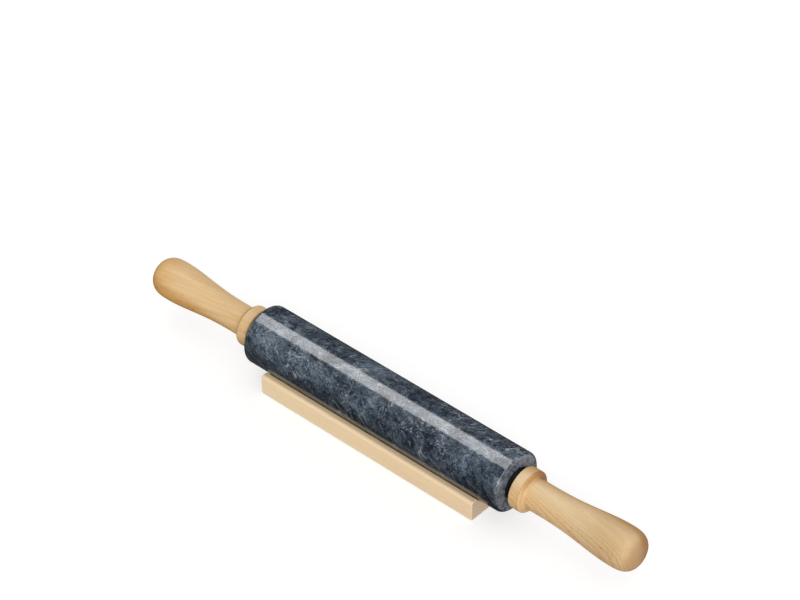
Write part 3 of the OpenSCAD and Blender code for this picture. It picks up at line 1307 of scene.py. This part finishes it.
@dataclass
class Cradle:
    """The grooved beech bar that the barrel lies in."""

    axis: PinAxis
    seat_gap: float = 0.3 * MM
    lip_outer_r: float = 2.5 * MM
    lip_inner_r: float = 2.0 * MM
    foot_r: float = 1.5 * MM
    end_round: float = 1.0 * MM
    arc_steps: int = 10
    groove_steps: int = 48
    end_steps: int = 4

    def half_section(self, half_width: float, height: float) -> list[Point]:
        """The section's left half, from the foot over the lip to the middle of the groove.

        Args:
            half_width: Half the cradle's width.
            height: Height of the lips.

        Returns:
            Points as (Y, Z).
        """
        groove_r = self.axis.barrel_r + self.seat_gap
        foot, outer, inner = self.foot_r, self.lip_outer_r, self.lip_inner_r
        lip_z = height - inner
        drop = self.axis.height - lip_z
        lip_y = -math.sqrt((groove_r + inner) ** 2 - drop**2)
        turn = math.degrees(math.atan2(drop, -lip_y))
        groove = arc((0.0, self.axis.height), (groove_r, groove_r), 180.0 + turn, 270.0, self.groove_steps)
        return [
            *arc((foot - half_width, foot), (foot, foot), 270.0, 180.0, self.arc_steps),
            *arc((outer - half_width, height - outer), (outer, outer), 180.0, 90.0, self.arc_steps),
            *arc((lip_y, lip_z), (inner, inner), 90.0, turn, self.arc_steps),
            *groove[1:],
        ]

    def build(self) -> None:
        """Makes the cradle in place of its CAD node."""
        low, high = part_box("cradle")
        half = self.half_section(high.y, high.z)
        section = [*half, *((-y, z) for y, z in reversed(half[:-1]))]
        mesh = bmesh.new()
        face = mesh.faces.new([mesh.verts.new((low.x, y, z)) for y, z in section])
        pushed = bmesh.ops.extrude_face_region(mesh, geom=[face])["geom"]
        far_points = [part for part in pushed if isinstance(part, bmesh.types.BMVert)]
        bmesh.ops.translate(mesh, verts=far_points, vec=(high.x - low.x, 0.0, 0.0))
        ends = [edge for edge in mesh.edges if abs(edge.verts[0].co.x - edge.verts[1].co.x) < MERGE_WITHIN]
        bmesh.ops.bevel(
            mesh,
            geom=ends,
            offset=self.end_round,
            affect="EDGES",
            segments=self.end_steps,
            profile=0.5,
            material=-1,
            clamp_overlap=False,
        )
        bmesh.ops.recalc_face_normals(mesh, faces=mesh.faces)
        cradle = shown_piece(mesh, "planed_cradle", PALE.material(self.axis))
        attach(cradle, "cradle")
        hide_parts("cradle")
        LOG.info("%s: %d faces", cradle.name, len(cradle.data.polygons))


def towards(azimuth: float, elevation: float) -> Vector:
    """The direction from the object to a place at this azimuth and elevation, in degrees."""
    a, e = math.radians(azimuth), math.radians(elevation)
    return Vector((math.sin(a) * math.cos(e), -math.cos(a) * math.cos(e), math.sin(e)))


@dataclass(frozen=True)
class SoftLamp:
    """A large soft lamp far away, which lights the object and isn't seen in its polish."""

    name: str
    azimuth: float
    elevation: float
    share: float
    spread: float

    def build(self) -> None:
        """Hangs the lamp, which gives a surface that faces it this share of full light."""
        lamp = bpy.data.lights.new(self.name, "SUN")
        lamp.energy = self.share * math.pi
        lamp.angle = math.radians(self.spread)
        stand = bpy.data.objects.new(self.name, lamp)
        stand.rotation_euler = towards(self.azimuth, self.elevation).to_track_quat("Z", "Y").to_euler()
        stand.visible_glossy = False
        bpy.context.scene.collection.objects.link(stand)


@dataclass(frozen=True)
class GlossBox:
    """A soft box that shows in the polish and adds nothing to the light on the object."""

    name: str
    place: Triple
    aim: Triple
    width: float
    depth: float
    glow: float

    def build(self) -> None:
        """Hangs the box at its place, with its face towards its aim."""
        lamp = bpy.data.lights.new(self.name, "AREA")
        lamp.shape = "RECTANGLE"
        lamp.size = self.width
        lamp.size_y = self.depth
        lamp.energy = self.glow * math.pi * self.width * self.depth
        box = bpy.data.objects.new(self.name, lamp)
        box.location = self.place
        box.rotation_euler = (Vector(self.place) - Vector(self.aim)).to_track_quat("Z", "Y").to_euler()
        box.visible_camera = False
        box.visible_diffuse = False
        bpy.context.scene.collection.objects.link(box)


LAMPS = (
    SoftLamp("front_lamp", azimuth=42.0, elevation=20.0, share=0.62, spread=45.0),
    SoftLamp("back_lamp", azimuth=215.0, elevation=14.0, share=0.38, spread=60.0),
)
BOXES = (
    GlossBox("long_box", place=(0.0, 0.0, 1.05), aim=(0.0, 0.0, 0.0), width=2.24, depth=0.72, glow=5.1),
    GlossBox("side_card", place=(0.78, -0.55, 0.24), aim=(0.12, 0.0, 0.2), width=0.9, depth=0.55, glow=2.8),
    GlossBox("rim_card", place=(1.02, 0.10, 0.62), aim=(0.12, 0.0, 0.2), width=1.5, depth=0.7, glow=2.2),
    GlossBox("low_card", place=(0.53, -0.1, 0.004), aim=(0.53, -0.1, 1.0), width=0.78, depth=0.9, glow=0.7),
)


@dataclass
class Studio:
    """The white floor, the lamps, the dark cloth for the polish, and the camera.

    Attributes:
        floor_grey: The floor's paint as it is seen, and floor_bounce as it throws light back.
        floor_lift: How far the floor near the object is lifted towards white.
        shadow_r: Distance up to which the floor keeps its shadows.
        white_r: Distance from which it is pure white.
        focal_px: The focal length in pixels of a picture that is image_px wide.
        distance: From the camera to the middle of the lifted pin.
        aside: How far to the side the camera's aim passes that middle, and above how far above it.
    """

    axis: PinAxis
    floor_r: float = 12.0
    floor_grey: float = 0.55
    floor_bounce: float = 0.30
    floor_lift: float = 0.56
    floor_roughness: float = 0.9
    shadow_r: float = 0.45
    white_r: float = 1.3
    fill: float = 0.62
    cloth_r: float = 3.0
    cloth_grey: float = 0.05
    cloth_gap: float = 0.5 * MM
    round_steps: int = 96
    azimuth: float = 42.0
    elevation: float = 39.08
    focal_px: float = 2800.0
    image_px: float = 800.0
    sensor_mm: float = 36.0
    distance: float = 1.9488
    aside: float = -9.64 * MM
    above: float = 61.84 * MM

    def seen(self, sheet: Sheet) -> Socket:
        """Tells what is looked at from the light that falls on things.

        Args:
            sheet: The node sheet.

        Returns:
            1 for what the camera, gloss and glass see, and 0 for that light.
        """
        path = sheet.add("ShaderNodeLightPath").outputs
        mirrored = sheet.number("MAXIMUM", path["Is Glossy Ray"], path["Is Transmission Ray"])
        return sheet.number("MAXIMUM", path["Is Camera Ray"], mirrored)

    def floor_paint(self) -> bpy.types.Material:
        """White paint that keeps the shadows near the object and is pure white further out.

        Returns:
            The material.
        """
        sheet = Sheet.new("white_floor")
        far = sheet.span(sheet.length(sheet.place()), self.shadow_r, self.white_r)
        glow = sheet.plus(sheet.times(far, 1.0 - self.floor_lift), self.floor_lift)
        seen = self.seen(sheet)
        bounced = (self.floor_bounce, self.floor_bounce, self.floor_bounce)
        shown = (self.floor_grey, self.floor_grey, self.floor_grey)
        inputs = {
            "Base Color": sheet.blend(seen, bounced, shown),
            "Roughness": self.floor_roughness,
            "Emission Color": WHITE,
            "Emission Strength": sheet.times(glow, seen),
        }
        return sheet.surface(inputs)

    def build_floor(self) -> None:
        """Lays the floor."""
        mesh = bmesh.new()
        bmesh.ops.create_circle(mesh, cap_ends=True, segments=self.round_steps, radius=self.floor_r)
        floor = shown_piece(mesh, "floor", self.floor_paint())

    def build_cloth(self) -> None:
        """Hangs dark cloth that only reflections see, as is done round polished stone."""
        sheet = Sheet.new("dark_cloth")
        grey = (self.cloth_grey, self.cloth_grey, self.cloth_grey, 1.0)
        glow = sheet.add("ShaderNodeEmission", {"Color": grey, "Strength": 1.0})
        sheet.add("ShaderNodeOutputMaterial", {"Surface": glow.outputs["Emission"]})
        mesh = bmesh.new()
        bmesh.ops.create_cone(
            mesh,
            cap_ends=True,
            segments=self.round_steps,
            radius1=self.cloth_r,
            radius2=self.cloth_r,
            depth=self.cloth_r,
        )
        bmesh.ops.translate(mesh, verts=mesh.verts, vec=(0.0, 0.0, self.cloth_r / 2 + self.cloth_gap))
        cloth = shown_piece(mesh, "dark_cloth", sheet.owner)
        cloth.visible_camera = False
        cloth.visible_diffuse = False
        cloth.visible_transmission = False
        cloth.visible_shadow = False

    def build_world(self) -> None:
        """A white background, and an even fill for everything that it lights."""
        world = bpy.data.worlds.new("white_room")
        world.use_nodes = True
        world.node_tree.nodes.clear()
        sheet = Sheet(world)
        level = sheet.span(self.seen(sheet), 0.0, 1.0, self.fill, 1.0)
        glow = sheet.add("ShaderNodeBackground", {"Color": WHITE, "Strength": level})
        sheet.add("ShaderNodeOutputWorld", {"Surface": glow.outputs["Background"]})
        bpy.context.scene.world = world

    def build_camera(self) -> None:
        """Stands the camera where the photo was taken from, with the lifted pin in the photo's place."""
        back = towards(self.azimuth, self.elevation)
        right = towards(self.azimuth + 90.0, 0.0)
        up = back.cross(right)
        aim = Vector((0.0, 0.0, self.axis.height + self.axis.lift))
        place = aim + self.distance * back - self.aside * right - self.above * up
        data = bpy.data.cameras.new("camera")
        data.sensor_width = self.sensor_mm
        data.lens = self.focal_px / self.image_px * self.sensor_mm
        camera = bpy.data.objects.new("camera", data)
        camera.matrix_world = Matrix.Translation(place) @ Matrix((right, up, back)).transposed().to_4x4()
        bpy.context.scene.collection.objects.link(camera)
        bpy.context.scene.camera = camera

    def build(self) -> None:
        """Sets up everything that isn't the object."""
        self.build_camera()
        self.build_floor()
        self.build_cloth()
        self.build_world()
        for lamp in (*LAMPS, *BOXES):
            lamp.build()
        bpy.context.scene.view_settings.view_transform = "Standard"


def main() -> None:
    """Builds the rolling pin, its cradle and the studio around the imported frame."""
    logging.basicConfig(level=logging.INFO, format="%(name)s: %(message)s")
    for leftover in list(bpy.data.objects):
        bpy.data.objects.remove(leftover)
    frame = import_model()
    axis = PinAxis.of_frame(frame)
    Studio(axis).build()
    Roller(axis).build(frame["nodes"])
    Grips(axis).build(frame["nodes"])
    Cradle(axis).build()


if __name__ == "__main__":
    main()
